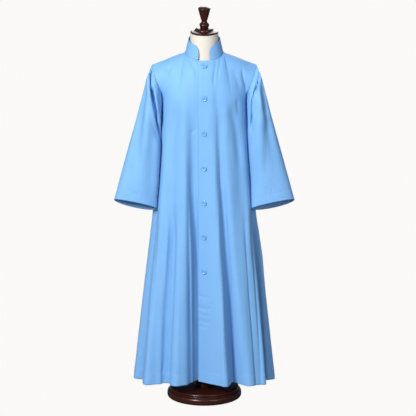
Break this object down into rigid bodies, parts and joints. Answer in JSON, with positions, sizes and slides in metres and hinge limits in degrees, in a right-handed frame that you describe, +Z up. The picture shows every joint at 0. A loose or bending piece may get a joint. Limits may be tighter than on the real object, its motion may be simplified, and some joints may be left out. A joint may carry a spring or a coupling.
{
  "type": "choir cassock on dress form",
  "caption": "Button-front choir cassock with band collar, wide straight sleeves and a flared folded skirt, worn by a limbless dress form on a turned wooden foot.",
  "frame": {"origin": "centre of the dress form's foot, on its underside, where the part stands", "axes": "+Z up along the form's pole, -Y the way the cassock's buttoned front faces, +X towards the wearer's left sleeve"},
  "size_m": [0.756, 0.3524, 1.7011],
  "materials": {
    "cassock_cloth": "plain-woven polyester and cotton, matt",
    "cassock_button": "dyed-to-match polyester resin, satin",
    "form_cover": "cream cotton jersey, matt",
    "turned_wood": "mahogany stain under gloss lacquer"
  },
  "bodies": {
    "root": {"front_left": "cassock_cloth", "front_right": "cassock_cloth", "back": "cassock_cloth", "sleeve_left": "cassock_cloth", "sleeve_right": "cassock_cloth", "collar": "cassock_cloth", "button_1": "cassock_button", "button_2": "cassock_button", "button_3": "cassock_button", "button_4": "cassock_button", "button_5": "cassock_button", "button_6": "cassock_button", "button_7": "cassock_button", "form_torso": "form_cover", "form_cap": "turned_wood", "form_finial": "turned_wood", "form_pole": "turned_wood", "form_foot": "turned_wood"}
  },
  "joints": []
}
